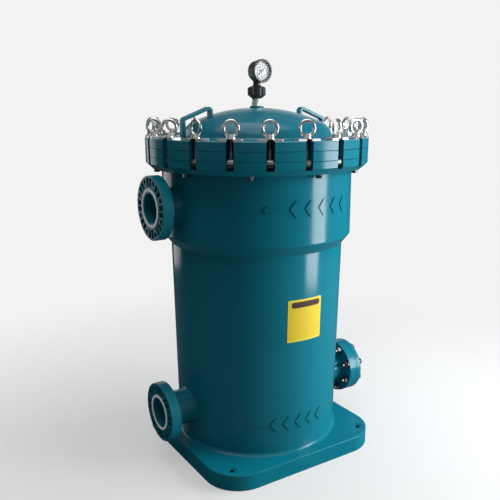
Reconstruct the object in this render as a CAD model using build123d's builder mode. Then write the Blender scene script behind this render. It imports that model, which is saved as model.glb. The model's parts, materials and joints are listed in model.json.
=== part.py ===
"""Multi-bag filter housing with a swing-bolt cover, moulded in plastic.

Origin: centre of the base plate's underside, on the vessel axis. +Z up, inlet and outlet along -X,
the blanked drain nozzle along +X, gauge and rating plate facing -Y. Millimetres.
"""

import os
from math import atan2, cos, radians, sin, sqrt

from build123d import *

# ---- base plate ----
base_margin = 42.0
base_corner_r = 128.0
base_t = 58.0
base_edge_r = 3.0
anchor_inset = 60.0
anchor_hole_r = 10.0
spot_face_r = 19.0
spot_face_depth = 2.0

# ---- vessel shell ----
lower_draft = 8.0
step_in = 27.0
upper_draft = 3.0
shell_wall = 14.0
floor_t = 18.0
floor_corner_r = 32.0
foot_r = 12.0
step_low_z = 772.0
step_high_z = 806.0
step_round_r = 10.0

# ---- cover joint ----
flange_r = 383.0
flange_overhang = 53.0
seam_chamfer = 1.2
rim_chamfer = 2.5
body_flange_z = 1072.0
body_flange_t = 30.0
lid_flange_t = 30.0
ring_t = 42.0
ring_chamfer_h = 20.0
ring_chamfer_w = 22.0
ring_slot_depth = 26.0
bolt_count = 20
bolt_edge = 20.0
slot_w = 25.0
seal_inset = 50.0
seal_section_r = 3.5
seal_clear = 0.2

# ---- lid ----
crown_r = 560.0
knuckle_r = 70.0
knuckle_drop = 14.2
dome_land = 121.0
dome_wall = 12.0
spigot_h = 10.0
spigot_w = 8.0
spigot_clear = 2.0
boss_r = 24.0
boss_h = 5.0
boss_bore_r = 8.0
handle_reach_in = 79.0
handle_reach_out = 22.0
handle_rise = 31.8
handle_fall = 38.0
handle_bar = 11.0
handle_w = 24.0
handle_corner_r = 9.0
handle_edge_r = 2.5
dome_root_r = 8.0

# ---- swing bolts and eye nuts ----
pin_r = 6.0
pin_len = 60.0
pin_fit = 0.05
eye_r = 15.5
eye_clear = 1.5
eye_w = 17.0
shank_r = 8.0
thread_root_r = 6.75
thread_major_r = 8.0
thread_len = 46.0
thread_engagement = 13.0
plate_w = 74.0
plate_d = 34.0
plate_t = 6.0
plate_slot_w = 18.0
nut_base_r = 15.0
nut_neck_r = 11.0
nut_base_h = 14.0
ring_centre_h = 30.5
ring_bar_r = 5.0
ring_major_r = 21.5
nut_turns = [-9, -35, 62, 8, -20, 40, -64, 15, 33, 66, 48, -15, 12, -6, -24, 15, -30, -33, 58, 6]

# ---- nozzles ----
nozzle_flange_r = 105.0
nozzle_flange_t = 36.0
nozzle_bolt_edge = 17.5
nozzle_holes = 8
nozzle_hole_r = 9.5
nozzle_boss_r = 15.0
nozzle_hub_r = 69.0
nozzle_rim_w = 7.0
nozzle_rib_t = 3.5
nozzle_ribs = 24
nozzle_pocket_depth = 22.0
neck_r = 62.0
neck_root_r = 5.0
bore_r = 50.0
inlet_z = 914.0
outlet_z = 188.0
drain_z = 182.0
face_reach = 27.0
drain_reach = 45.0
seal_ring_in_r = 55.0
seal_ring_out_r = 63.0
seal_ring_t = 6.0
seal_ring_proud = 2.0
blind_t = 21.0
nozzle_bolt_r = 8.0
hex_af = 24.0
hex_head_h = 10.0
hex_nut_h = 13.0
washer_r = 15.0
washer_t = 3.0
bolt_tail = 9.0

# ---- tube sheet and baskets ----
tube_sheet_t = 20.0
tube_sheet_clear = 0.5
basket_count = 4
basket_offset = 150.0
basket_r = 82.0
basket_wall = 4.0
basket_len = 640.0
basket_collar_r = 98.0
basket_collar_t = 6.0
basket_hole_clear = 1.5
basket_window_cols = 10
basket_window_rows = 3
basket_window_w = 26.0
basket_window_h = 165.0
basket_window_gap = 35.0
bail_r = 4.0
bail_h = 62.0
bail_corner_r = 24.0

# ---- gauge assembly ----
nipple_hex_af = 34.0
nipple_hex_h = 11.0
nipple_r = 15.5
nipple_h = 24.0
nipple_bore_r = 5.0
seal_low_r = 15.0
seal_drum_r = 31.0
seal_taper_h = 10.0
seal_drum_h = 27.0
seal_cap_h = 6.0
seal_lobes = 8
seal_flute_r = 9.0
seal_flute_depth = 4.0
stem_r = 12.5
stem_len = 11.5
stem_gap_h = 4.0
case_r = 33.5
case_back_y = 6.0
case_wall = 2.0
bezel_r = 37.5
bezel_front_y = -38.0
bezel_h = 11.0
dial_y = -27.0
dial_t = 1.5
dial_clear = 0.3
spindle_r = 1.5
pointer_gap = 0.3
pointer_t = 1.0
pointer_hub_t = 2.5
pointer_hub_r = 4.0
pointer_len = 24.0
pointer_tail = 9.0
pointer_half_w = 1.6
pointer_rest_deg = -135.0

# ---- heights and radii that follow ----
upper_r_top = flange_r - flange_overhang
upper_r_bottom = upper_r_top + upper_draft
lower_r_top = upper_r_bottom - step_in
lower_r_bottom = lower_r_top - lower_draft
base_side = 2 * (lower_r_bottom + base_margin)
anchor_spacing = base_side - 2 * anchor_inset
bolt_circle_r = flange_r - bolt_edge
seal_r = flange_r - seal_inset
face_x = flange_r + face_reach
drain_face_x = flange_r + drain_reach
nozzle_bolts_r = nozzle_flange_r - nozzle_bolt_edge
flange_top_z = body_flange_z + body_flange_t
lid_top_z = flange_top_z + lid_flange_t
ring_low_z = body_flange_z - ring_t
pin_z = body_flange_z - pin_r
plate_top_z = lid_top_z + plate_t
bolt_tip_h = plate_top_z + thread_engagement - pin_z
lower_in_r = lower_r_bottom - shell_wall
upper_in_r = upper_r_top - shell_wall
sheet_top_z = step_high_z + tube_sheet_t
bolt_pitch = 360.0 / bolt_count
bolt_angles = [bolt_pitch * (number + 0.5) for number in range(bolt_count)]
slot_end_r = bolt_circle_r - eye_r - eye_clear + sqrt((slot_w / 2) ** 2 - (eye_w / 2) ** 2)
dome_base_r = flange_r - dome_land
knuckle_x = dome_base_r - knuckle_r
knuckle_z = lid_top_z - knuckle_drop
crown_centre_z = knuckle_z - sqrt((crown_r - knuckle_r) ** 2 - knuckle_x**2)
boss_top_z = crown_centre_z + crown_r + boss_h
handle_in_r = dome_base_r - handle_reach_in
handle_out_r = dome_base_r + handle_reach_out
handle_foot_z = crown_centre_z + sqrt(crown_r**2 - handle_in_r**2)
seal_low_z = boss_top_z + nipple_h
drum_low_z = seal_low_z + seal_taper_h
drum_top_z = drum_low_z + seal_drum_h
seal_top_z = drum_top_z + seal_cap_h
gauge_z = seal_top_z + stem_len + case_r

os.makedirs("parts", exist_ok=True)


def save(shape, name):
    """Labels one finished piece and writes it as its own STEP file."""
    shape.label = name
    export_step(shape, f"parts/{name}.step")


def nozzle_plane(side, x, z):
    """The plane of a nozzle face: side is -1 for -X and 1 for +X, and its normal points outwards."""
    return Plane(origin=(side * x, 0, z), x_dir=(0, side, 0), z_dir=(side, 0, 0))


def slot_sketch(z):
    """Closed-ended radial slots for the swing bolts, open at the rim, on a plane at height z."""
    with BuildSketch(Plane.XY.offset(z)) as slots:
        with PolarLocations(slot_end_r, bolt_count, start_angle=bolt_angles[0]):
            Circle(slot_w / 2)
            Rectangle(slot_w * 2, slot_w, align=(Align.MIN, Align.CENTER))
    return slots.sketch


# ================= base plate =================
with BuildPart() as base_plate:
    with BuildSketch() as base_outline:
        RectangleRounded(base_side, base_side, base_corner_r)
    extrude(amount=base_t)
    top_edges = base_plate.faces().sort_by(Axis.Z)[-1].edges()
    fillet(top_edges, base_edge_r)
    with Locations(Plane.XY.offset(base_t)):
        with GridLocations(anchor_spacing, anchor_spacing, 2, 2):
            CounterBoreHole(anchor_hole_r, spot_face_r, spot_face_depth)
save(base_plate.part, "base_plate")

# ================= vessel shell =================
with BuildPart() as vessel_shell:
    with BuildSketch(Plane.XZ):
        with BuildLine():
            RadiusArc((lower_r_bottom + foot_r, base_t), (lower_r_bottom, base_t + foot_r), foot_r)
            Polyline(
                (lower_r_bottom, base_t + foot_r),
                (lower_r_top, step_low_z),
                (upper_r_bottom, step_high_z),
                (upper_r_top, body_flange_z),
                (flange_r - seam_chamfer, body_flange_z),
                (flange_r, body_flange_z + seam_chamfer),
                (flange_r, flange_top_z - seam_chamfer),
                (flange_r - seam_chamfer, flange_top_z),
                (upper_in_r, flange_top_z),
                (upper_in_r, step_high_z),
                (lower_in_r, step_high_z),
                (lower_in_r, base_t + floor_t + floor_corner_r),
            )
            RadiusArc(
                (lower_in_r, base_t + floor_t + floor_corner_r),
                (lower_in_r - floor_corner_r, base_t + floor_t),
                floor_corner_r,
            )
            Polyline(
                (lower_in_r - floor_corner_r, base_t + floor_t),
                (0, base_t + floor_t),
                (0, base_t),
                (lower_r_bottom + foot_r, base_t),
            )
        make_face()
    revolve(axis=Axis.Z)
    step_edges = vessel_shell.edges().filter_by(GeomType.CIRCLE).filter_by(
        lambda edge: abs(edge.radius - upper_r_bottom) < 0.01 and abs(edge.center().Z - step_high_z) < 0.01
    )
    fillet(step_edges, step_round_r)
    # holes that the nozzle necks are welded into
    for side, z in ((-1, inlet_z), (-1, outlet_z), (1, drain_z)):
        with BuildSketch(nozzle_plane(side, flange_r, z)):
            Circle(neck_r)
        extrude(amount=-flange_r, mode=Mode.SUBTRACT)
    add(slot_sketch(body_flange_z))
    extrude(amount=body_flange_t, mode=Mode.SUBTRACT)
    # groove for the cover seal
    with BuildSketch(Plane.XZ):
        with Locations((seal_r, flange_top_z - seal_section_r - seal_clear / 2)):
            Rectangle(2 * seal_section_r + 2 * seal_clear, 2 * seal_section_r + seal_clear)
    revolve(axis=Axis.Z, mode=Mode.SUBTRACT)

# floor, lower course with the step, upper course and body flange, welded face to face
courses = []
rest_of_shell = vessel_shell.part
for seam_z in (base_t + floor_t, sheet_top_z, body_flange_z):
    seam = Plane.XY.offset(seam_z)
    courses += split(rest_of_shell, seam, keep=Keep.BOTTOM).solids()
    rest_of_shell = split(rest_of_shell, seam, keep=Keep.TOP)
save(Compound([*courses, *rest_of_shell.solids()]), "vessel_shell")

# ================= backing ring that holds the pivot pins =================
with BuildPart() as backing_ring:
    with BuildSketch(Plane.XZ):
        with BuildLine():
            Polyline(
                (upper_r_bottom, ring_low_z),
                (flange_r - ring_chamfer_w, ring_low_z),
                (flange_r, ring_low_z + ring_chamfer_h),
                (flange_r, body_flange_z - seam_chamfer),
                (flange_r - seam_chamfer, body_flange_z),
                (upper_r_bottom, body_flange_z),
                close=True,
            )
        make_face()
    revolve(axis=Axis.Z)
    add(slot_sketch(body_flange_z))
    extrude(amount=-ring_slot_depth, mode=Mode.SUBTRACT)
    # saddles: the pins drop in from above and the body flange traps them
    for angle in bolt_angles:
        tangent_plane = Plane.XY.rotated((0, 0, angle)).offset(body_flange_z)
        with BuildSketch(tangent_plane):
            with Locations((bolt_circle_r, 0)):
                Rectangle(2 * (pin_r + pin_fit), pin_len + 1)
        extrude(amount=-pin_r, mode=Mode.SUBTRACT)
    with PolarLocations(bolt_circle_r, bolt_count, start_angle=bolt_angles[0]):
        with Locations(Location((0, 0, pin_z), (90, 0, 0))):
            Cylinder(pin_r + pin_fit, pin_len + 1, mode=Mode.SUBTRACT)
save(backing_ring.part, "backing_ring")

# ================= pivot pins =================
with BuildPart() as pivot_pins:
    with PolarLocations(bolt_circle_r, bolt_count, start_angle=bolt_angles[0]):
        with Locations(Location((0, 0, pin_z), (90, 0, 0))):
            Cylinder(pin_r, pin_len)
save(pivot_pins.part, "pivot_pins")

# ================= cover seal =================
with BuildPart() as lid_seal:
    with BuildSketch(Plane.XZ):
        with Locations((seal_r, flange_top_z - seal_section_r - seal_clear)):
            Circle(seal_section_r)
    revolve(axis=Axis.Z)
save(lid_seal.part, "lid_seal")

# ================= lid =================
def dished_profile(offset_in, foot_z):
    """Half outline of the dished head, offset_in inside the outer skin and cut off at foot_z."""
    crown = crown_r - offset_in
    knuckle = knuckle_r - offset_in
    lean = atan2(knuckle_x, knuckle_z - crown_centre_z)
    apex = (0, crown_centre_z + crown)
    tangent = (crown * sin(lean), crown_centre_z + crown * cos(lean))
    foot = (knuckle_x + sqrt(knuckle**2 - (foot_z - knuckle_z) ** 2), foot_z)
    return apex, tangent, foot, crown, knuckle


with BuildPart() as handle:
    with BuildSketch(Plane.XZ) as strap:
        with BuildLine():
            FilletPolyline(
                (handle_in_r, handle_foot_z - dome_wall / 2),
                (handle_in_r, handle_foot_z + handle_rise),
                (handle_out_r, handle_foot_z + handle_rise - handle_fall),
                (handle_out_r, lid_top_z - lid_flange_t / 3),
                radius=handle_corner_r,
            )
        trace(line_width=handle_bar)
    extrude(amount=handle_w / 2, both=True)
    long_edges = handle.edges().filter_by(lambda edge: abs(abs(edge.center().Y) - handle_w / 2) < 0.01)
    fillet(long_edges, handle_edge_r)

with BuildPart() as lid:
    apex, tangent, foot, crown, knuckle = dished_profile(0, lid_top_z)
    in_apex, in_tangent, in_foot, in_crown, in_knuckle = dished_profile(dome_wall, knuckle_z)
    spigot_r = upper_in_r - spigot_clear
    with BuildSketch(Plane.XZ):
        with BuildLine():
            RadiusArc(apex, tangent, crown)
            RadiusArc(tangent, foot, knuckle)
            Polyline(
                foot,
                (flange_r - rim_chamfer, lid_top_z),
                (flange_r, lid_top_z - rim_chamfer),
                (flange_r, flange_top_z + seam_chamfer),
                (flange_r - seam_chamfer, flange_top_z),
                (spigot_r, flange_top_z),
                (spigot_r, flange_top_z - spigot_h),
                (spigot_r - spigot_w, flange_top_z - spigot_h),
                (spigot_r - spigot_w, flange_top_z),
                (in_foot[0], flange_top_z),
                in_foot,
            )
            RadiusArc(in_foot, in_tangent, -in_knuckle)
            RadiusArc(in_tangent, in_apex, -in_crown)
            Line(in_apex, apex)
        make_face()
    revolve(axis=Axis.Z)
    root_edges = lid.edges().filter_by(GeomType.CIRCLE).filter_by(
        lambda edge: abs(edge.radius - foot[0]) < 0.01 and abs(edge.center().Z - lid_top_z) < 0.01
    )
    fillet(root_edges, dome_root_r)
    add(slot_sketch(flange_top_z))
    extrude(amount=lid_flange_t, mode=Mode.SUBTRACT)
    with BuildSketch(Plane.XY.offset(boss_top_z)):
        Circle(boss_r)
    extrude(amount=-(boss_h + dome_wall / 2))
    with PolarLocations(0, 2):
        add(handle.part)
    with BuildSketch(Plane.XY.offset(boss_top_z)):
        Circle(boss_bore_r)
    extrude(amount=-(boss_h + dome_wall + 2), mode=Mode.SUBTRACT)
save(lid.part, "lid")

# ================= clamp plates: slotted outwards so that the bolts can leave =================
with BuildPart() as clamp_plates:
    with BuildSketch(Plane.XY.offset(lid_top_z)):
        with PolarLocations(bolt_circle_r, bolt_count, start_angle=bolt_angles[0]):
            RectangleRounded(plate_d, plate_w, 2)
            Circle(plate_slot_w / 2, mode=Mode.SUBTRACT)
            Rectangle(plate_d, plate_slot_w, align=(Align.MIN, Align.CENTER), mode=Mode.SUBTRACT)
    extrude(amount=plate_t)
save(clamp_plates.part, "clamp_plates")

# ================= swing bolts =================
with BuildPart() as bolt_master:
    with Locations(Location((0, 0, pin_z), (90, 0, 0))):
        Cylinder(eye_r, eye_w)
    with Locations((0, 0, pin_z)):
        Cylinder(shank_r, bolt_tip_h - thread_len, align=(Align.CENTER, Align.CENTER, Align.MIN))
        Cylinder(thread_root_r, bolt_tip_h, align=(Align.CENTER, Align.CENTER, Align.MIN))
    tip_edge = bolt_master.faces().sort_by(Axis.Z)[-1].edges()
    chamfer(tip_edge, 1.0)
    with Locations(Location((0, 0, pin_z), (90, 0, 0))):
        Cylinder(pin_r + pin_fit, eye_w + 2, mode=Mode.SUBTRACT)

for number, angle in enumerate(bolt_angles, 1):
    with BuildPart() as swing_bolt:
        with PolarLocations(bolt_circle_r, 1, start_angle=angle):
            add(bolt_master.part)
    save(swing_bolt.part, f"swing_bolt_{number:02d}")

# ================= eye nuts =================
with BuildPart() as nut_master:
    with BuildSketch(Plane.XZ):
        with BuildLine():
            Polyline(
                (0, plate_top_z),
                (nut_base_r, plate_top_z),
                (nut_base_r - 1, plate_top_z + nut_base_h * 0.4),
                (nut_neck_r, plate_top_z + nut_base_h),
                (0, plate_top_z + nut_base_h),
                close=True,
            )
        make_face()
    revolve(axis=Axis.Z)
    with Locations(Location((0, 0, plate_top_z + ring_centre_h), (0, 90, 0))):
        Torus(ring_major_r, ring_bar_r)
    with BuildSketch(Plane.XY.offset(plate_top_z)):
        Circle(thread_major_r)
    extrude(amount=ring_centre_h, mode=Mode.SUBTRACT)

for number, (angle, turn) in enumerate(zip(bolt_angles, nut_turns), 1):
    with BuildPart() as eye_nut:
        with PolarLocations(bolt_circle_r, 1, start_angle=angle):
            add(nut_master.part, rotation=(0, 0, turn))
    save(eye_nut.part, f"eye_nut_{number:02d}")


# ================= nozzles: flange and neck =================
def nozzle(side, x, z, wall_r, pocketed):
    """Flanged neck from its face at x in to the shell's inner wall; the hub, ribs and bosses stand in the pockets."""
    plane = nozzle_plane(side, x, z)
    with BuildPart() as stub:
        with BuildSketch(plane):
            Circle(nozzle_flange_r)
        extrude(amount=-nozzle_flange_t)
        rim_edges = stub.edges().filter_by(GeomType.CIRCLE)
        fillet(rim_edges, 2.0)
        with BuildSketch(plane.offset(-nozzle_flange_t)):
            Circle(neck_r)
        extrude(amount=-(x - nozzle_flange_t - wall_r))
        root_edges = stub.edges().filter_by(GeomType.CIRCLE).filter_by(
            lambda edge: abs(edge.radius - neck_r) < 0.01 and abs(abs(edge.center().X) - x + nozzle_flange_t) < 0.01
        )
        fillet(root_edges, neck_root_r)
        if pocketed:
            with BuildSketch(plane):
                Circle(nozzle_flange_r - nozzle_rim_w)
                Circle(nozzle_hub_r, mode=Mode.SUBTRACT)
                with PolarLocations(nozzle_bolts_r, nozzle_ribs):
                    Rectangle(2 * nozzle_hub_r, nozzle_rib_t, mode=Mode.SUBTRACT)
                with PolarLocations(nozzle_bolts_r, nozzle_holes, start_angle=180 / nozzle_holes):
                    Circle(nozzle_boss_r, mode=Mode.SUBTRACT)
            extrude(amount=-nozzle_pocket_depth, mode=Mode.SUBTRACT)
            with BuildSketch(plane):
                Circle(seal_ring_out_r)
                Circle(seal_ring_in_r, mode=Mode.SUBTRACT)
            extrude(amount=-(seal_ring_t - seal_ring_proud), mode=Mode.SUBTRACT)
        with BuildSketch(plane):
            with PolarLocations(nozzle_bolts_r, nozzle_holes, start_angle=180 / nozzle_holes):
                Circle(nozzle_hole_r)
        extrude(amount=-nozzle_flange_t, mode=Mode.SUBTRACT)
        with BuildSketch(plane):
            Circle(bore_r)
        extrude(amount=-(x - wall_r), mode=Mode.SUBTRACT)
    return stub.part


save(nozzle(-1, face_x, inlet_z, upper_in_r, True), "inlet_nozzle")
save(nozzle(-1, face_x, outlet_z, lower_in_r, True), "outlet_nozzle")
save(nozzle(1, drain_face_x, drain_z, lower_in_r, False), "drain_nozzle")

# ================= white face seals in the two open nozzles =================
with BuildPart() as face_seals:
    for z in (inlet_z, outlet_z):
        with BuildSketch(nozzle_plane(-1, face_x + seal_ring_proud, z)):
            Circle(seal_ring_out_r)
            Circle(seal_ring_in_r, mode=Mode.SUBTRACT)
        extrude(amount=-seal_ring_t)
save(face_seals.part, "face_seals")

# ================= blind flange on the drain nozzle =================
blind_plane = nozzle_plane(1, drain_face_x, drain_z)
with BuildPart() as blind_flange:
    with BuildSketch(blind_plane):
        Circle(nozzle_flange_r)
        with PolarLocations(nozzle_bolts_r, nozzle_holes, start_angle=180 / nozzle_holes):
            Circle(nozzle_hole_r, mode=Mode.SUBTRACT)
    extrude(amount=blind_t)
    rim_edges = blind_flange.edges().filter_by(GeomType.CIRCLE).filter_by(
        lambda edge: abs(edge.radius - nozzle_flange_r) < 0.01
    )
    fillet(rim_edges, 2.0)
save(blind_flange.part, "blind_flange")

with BuildPart() as blind_bolts:
    head_plane = blind_plane.offset(blind_t)
    back_plane = blind_plane.offset(-nozzle_flange_t)
    with BuildSketch(head_plane):
        with PolarLocations(nozzle_bolts_r, nozzle_holes, start_angle=180 / nozzle_holes):
            Circle(nozzle_bolt_r)
    extrude(amount=-(blind_t + nozzle_flange_t + washer_t + hex_nut_h + bolt_tail))
    for seat_plane, outwards in ((head_plane, 1), (back_plane, -1)):
        hex_h = hex_head_h if outwards > 0 else hex_nut_h
        with BuildSketch(seat_plane):
            with PolarLocations(nozzle_bolts_r, nozzle_holes, start_angle=180 / nozzle_holes):
                Circle(washer_r)
        extrude(amount=outwards * washer_t)
        with BuildSketch(seat_plane.offset(outwards * washer_t)):
            with PolarLocations(nozzle_bolts_r, nozzle_holes, start_angle=180 / nozzle_holes):
                RegularPolygon(hex_af / 2, 6, major_radius=False)
        extrude(amount=outwards * hex_h)
save(blind_bolts.part, "blind_bolts")

# ================= tube sheet =================
with BuildPart() as tube_sheet:
    with BuildSketch(Plane.XY.offset(step_high_z)):
        Circle(upper_in_r - tube_sheet_clear)
        with PolarLocations(basket_offset, basket_count, start_angle=180 / basket_count):
            Circle(basket_r + basket_hole_clear, mode=Mode.SUBTRACT)
    extrude(amount=tube_sheet_t)
save(tube_sheet.part, "tube_sheet")

# ================= strainer baskets =================
with BuildPart() as basket_master:
    with BuildSketch(Plane.XY.offset(sheet_top_z)):
        Circle(basket_collar_r)
    extrude(amount=basket_collar_t)
    with BuildSketch(Plane.XY.offset(sheet_top_z)):
        Circle(basket_r)
    extrude(amount=-(basket_len - basket_collar_t))
    with BuildSketch(Plane.XY.offset(sheet_top_z + basket_collar_t)):
        Circle(basket_r - basket_wall)
    extrude(amount=-(basket_len - basket_wall), mode=Mode.SUBTRACT)
    for row in range(basket_window_rows):
        window_z = sheet_top_z - basket_window_gap * 2 - row * (basket_window_h + basket_window_gap)
        window_z -= basket_window_h / 2
        with PolarLocations(basket_r - basket_wall / 2, basket_window_cols):
            with Locations((0, 0, window_z)):
                Box(basket_wall * 3, basket_window_w, basket_window_h, mode=Mode.SUBTRACT)
    # wire bail across the collar
    with BuildLine(Plane.XZ) as bail_path:
        FilletPolyline(
            (-(basket_collar_r - 10), sheet_top_z + basket_collar_t / 2),
            (-(basket_collar_r - 10), sheet_top_z + bail_h),
            (basket_collar_r - 10, sheet_top_z + bail_h),
            (basket_collar_r - 10, sheet_top_z + basket_collar_t / 2),
            radius=bail_corner_r,
        )
    with BuildSketch(Plane(origin=bail_path.line @ 0, z_dir=bail_path.line % 0)):
        Circle(bail_r)
    sweep(path=bail_path.line)

with BuildPart() as baskets:
    with PolarLocations(basket_offset, basket_count, start_angle=180 / basket_count):
        add(basket_master.part)
save(baskets.part, "baskets")

# ================= gauge nipple and diaphragm seal =================
with BuildPart() as gauge_nipple:
    with BuildSketch(Plane.XY.offset(boss_top_z)):
        RegularPolygon(nipple_hex_af / 2, 6, major_radius=False)
    extrude(amount=nipple_hex_h)
    with BuildSketch(Plane.XY.offset(boss_top_z)):
        Circle(nipple_r)
    extrude(amount=nipple_h)
    with BuildSketch(Plane.XY.offset(boss_top_z)):
        Circle(nipple_bore_r)
    extrude(amount=nipple_h, mode=Mode.SUBTRACT)
save(gauge_nipple.part, "gauge_nipple")

with BuildPart() as diaphragm_seal:
    with BuildSketch(Plane.XZ):
        with BuildLine():
            Polyline(
                (0, seal_low_z),
                (seal_low_r, seal_low_z),
                (seal_drum_r - 3, drum_low_z),
                (seal_drum_r, drum_low_z + 3),
                (seal_drum_r, drum_top_z - 3),
                (seal_drum_r - 3, drum_top_z),
                (stem_r, drum_top_z + seal_cap_h),
                (0, drum_top_z + seal_cap_h),
                close=True,
            )
        make_face()
    revolve(axis=Axis.Z)
    with BuildSketch(Plane.XY.offset(seal_low_z)):
        with PolarLocations(seal_drum_r + seal_flute_r - seal_flute_depth, seal_lobes):
            Circle(seal_flute_r)
    extrude(amount=seal_taper_h + seal_drum_h + seal_cap_h, mode=Mode.SUBTRACT)
save(diaphragm_seal.part, "diaphragm_seal")

# ================= pressure gauge =================
case_plane = Plane(origin=(0, case_back_y, gauge_z), x_dir=(1, 0, 0), z_dir=(0, -1, 0))
with BuildPart() as gauge_case:
    with BuildSketch(case_plane):
        Circle(case_r)
    extrude(amount=case_back_y - bezel_front_y - bezel_h)
    back_edge = gauge_case.faces().sort_by(Axis.Y)[-1].edges()
    fillet(back_edge, 4.0)
    with BuildSketch(case_plane.offset(case_back_y - bezel_front_y - bezel_h)):
        Circle(bezel_r)
    extrude(amount=bezel_h)
    front_edge = gauge_case.faces().sort_by(Axis.Y)[0].edges()
    fillet(front_edge, 3.0)
    with BuildSketch(case_plane.offset(case_back_y - dial_y)):
        Circle(case_r - case_wall)
    extrude(amount=dial_y - bezel_front_y, mode=Mode.SUBTRACT)
    with BuildSketch(Plane.XY.offset(seal_top_z)):
        Circle(stem_r)
    extrude(amount=gauge_z - case_r - seal_top_z + stem_gap_h)
save(gauge_case.part, "gauge_case")

dial_plane = Plane(origin=(0, dial_y, gauge_z), x_dir=(1, 0, 0), z_dir=(0, -1, 0))
with BuildPart() as gauge_dial:
    with BuildSketch(dial_plane):
        Circle(case_r - case_wall - dial_clear)
    extrude(amount=dial_t)
    with BuildSketch(dial_plane):
        Circle(spindle_r)
    extrude(amount=dial_t + pointer_gap + pointer_hub_t)
save(gauge_dial.part, "gauge_dial")

rest = radians(pointer_rest_deg)
pointer_plane = Plane(
    origin=(0, dial_y - dial_t - pointer_gap, gauge_z),
    x_dir=(cos(rest), 0, -sin(rest)),
    z_dir=(0, -1, 0),
)
with BuildPart() as gauge_pointer:
    with BuildSketch(pointer_plane):
        with BuildLine():
            Polyline(
                (-pointer_half_w, -pointer_tail),
                (pointer_half_w, -pointer_tail),
                (pointer_half_w / 3, pointer_len),
                (-pointer_half_w / 3, pointer_len),
                close=True,
            )
        make_face()
    extrude(amount=pointer_t)
    with BuildSketch(pointer_plane):
        Circle(pointer_hub_r)
    extrude(amount=pointer_hub_t)
    with BuildSketch(pointer_plane):
        Circle(spindle_r + pin_fit)
    extrude(amount=pointer_hub_t, mode=Mode.SUBTRACT)
save(gauge_pointer.part, "gauge_pointer")
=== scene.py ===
"""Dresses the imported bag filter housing: moulded plastic, steel, seals, gauge and studio.

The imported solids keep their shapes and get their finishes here. Bolt threads, ring screws, weld
beads, raised flow marks, the rating plate, the gauge scale and its lens are built here and ride
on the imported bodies. Metres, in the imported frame: +Z up the vessel axis, inlet and outlet along
-X, gauge facing -Y.
"""

import json
import logging
import math
from dataclasses import dataclass
from enum import Enum
from typing import Any, Callable, Sequence

import bmesh
import bpy
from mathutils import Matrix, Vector


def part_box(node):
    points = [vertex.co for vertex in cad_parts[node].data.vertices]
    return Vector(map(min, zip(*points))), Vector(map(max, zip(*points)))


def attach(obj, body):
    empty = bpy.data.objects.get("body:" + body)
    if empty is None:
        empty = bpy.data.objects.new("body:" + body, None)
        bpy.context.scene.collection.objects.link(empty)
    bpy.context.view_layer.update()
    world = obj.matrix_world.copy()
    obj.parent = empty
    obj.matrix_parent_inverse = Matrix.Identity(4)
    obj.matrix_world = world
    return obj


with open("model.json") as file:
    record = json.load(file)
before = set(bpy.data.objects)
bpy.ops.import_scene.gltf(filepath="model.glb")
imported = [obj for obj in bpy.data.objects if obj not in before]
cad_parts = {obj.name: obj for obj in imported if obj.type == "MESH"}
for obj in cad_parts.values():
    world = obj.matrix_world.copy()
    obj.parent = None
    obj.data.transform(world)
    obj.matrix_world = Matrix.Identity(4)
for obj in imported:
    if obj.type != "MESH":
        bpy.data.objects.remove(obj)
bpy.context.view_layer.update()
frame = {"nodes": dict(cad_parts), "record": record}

LOG = logging.getLogger("filter_housing")
Rgb = tuple[float, float, float]
Point = tuple[float, float, float]
Outline = list[tuple[float, float]]
Socket = bpy.types.NodeSocket

FLOAT = "NodeSocketFloat"
VECTOR = "NodeSocketVector"
INTEGER = "NodeSocketInt"
FULL_TURN = 2 * math.pi


# ---------------------------------------------------------------------------
# Node tree helpers
# ---------------------------------------------------------------------------
class Bench:
    """Adds nodes to one node tree and wires them together."""

    def __init__(self, tree: bpy.types.NodeTree) -> None:
        """Keeps the tree that the nodes go into."""
        self.tree = tree

    def add(self, kind: str, settings: dict[str, Any] | None = None, **plugs: Any) -> bpy.types.Node:
        """Adds one node.

        Args:
            kind: the node's type name.
            settings: attributes set on the node itself.
            plugs: input values or output sockets, by input name with underscores for spaces.

        Returns:
            The new node.
        """
        node = self.tree.nodes.new(kind)
        for key, value in (settings or {}).items():
            setattr(node, key, value)
        for key, value in plugs.items():
            self.plug(node.inputs[key.replace("_", " ")], value)
        return node

    def plug(self, socket: Socket, value: Any) -> None:
        """Links an output socket to an input, or sets the input's own value."""
        if isinstance(value, Socket):
            self.tree.links.new(value, socket)
        else:
            socket.default_value = value

    def math(self, operation: str, first: Any, second: Any = 0.0, clamp: bool = False) -> Socket:
        """Adds a math node.

        Args:
            operation: the node's operation.
            first: value or socket.
            second: value or socket.
            clamp: True to hold the result between 0 and 1.

        Returns:
            The result's socket.
        """
        node = self.add("ShaderNodeMath", {"operation": operation, "use_clamp": clamp})
        self.plug(node.inputs[0], first)
        self.plug(node.inputs[1], second)
        return node.outputs[0]

    def ramp(self, value: Any, low: float, high: float, start: float = 0.0, end: float = 1.0) -> Socket:
        """Maps a value smoothly from low..high to start..end and returns the result's socket."""
        node = self.add("ShaderNodeMapRange", {"interpolation_type": "SMOOTHSTEP"})
        for index, item in enumerate((value, low, high, start, end)):
            self.plug(node.inputs[index], item)
        return node.outputs[0]

    def blend(self, factor: Any, first: Any, second: Any) -> Socket:
        """Mixes two colours and returns the result's socket."""
        node = self.add("ShaderNodeMix", {"data_type": "RGBA"})
        self.plug(node.inputs[0], factor)
        self.plug(node.inputs[6], first)
        self.plug(node.inputs[7], second)
        return node.outputs[2]


def rgba(colour: Rgb) -> tuple[float, float, float, float]:
    """Adds full opacity to a colour."""
    return (*colour, 1.0)


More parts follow.
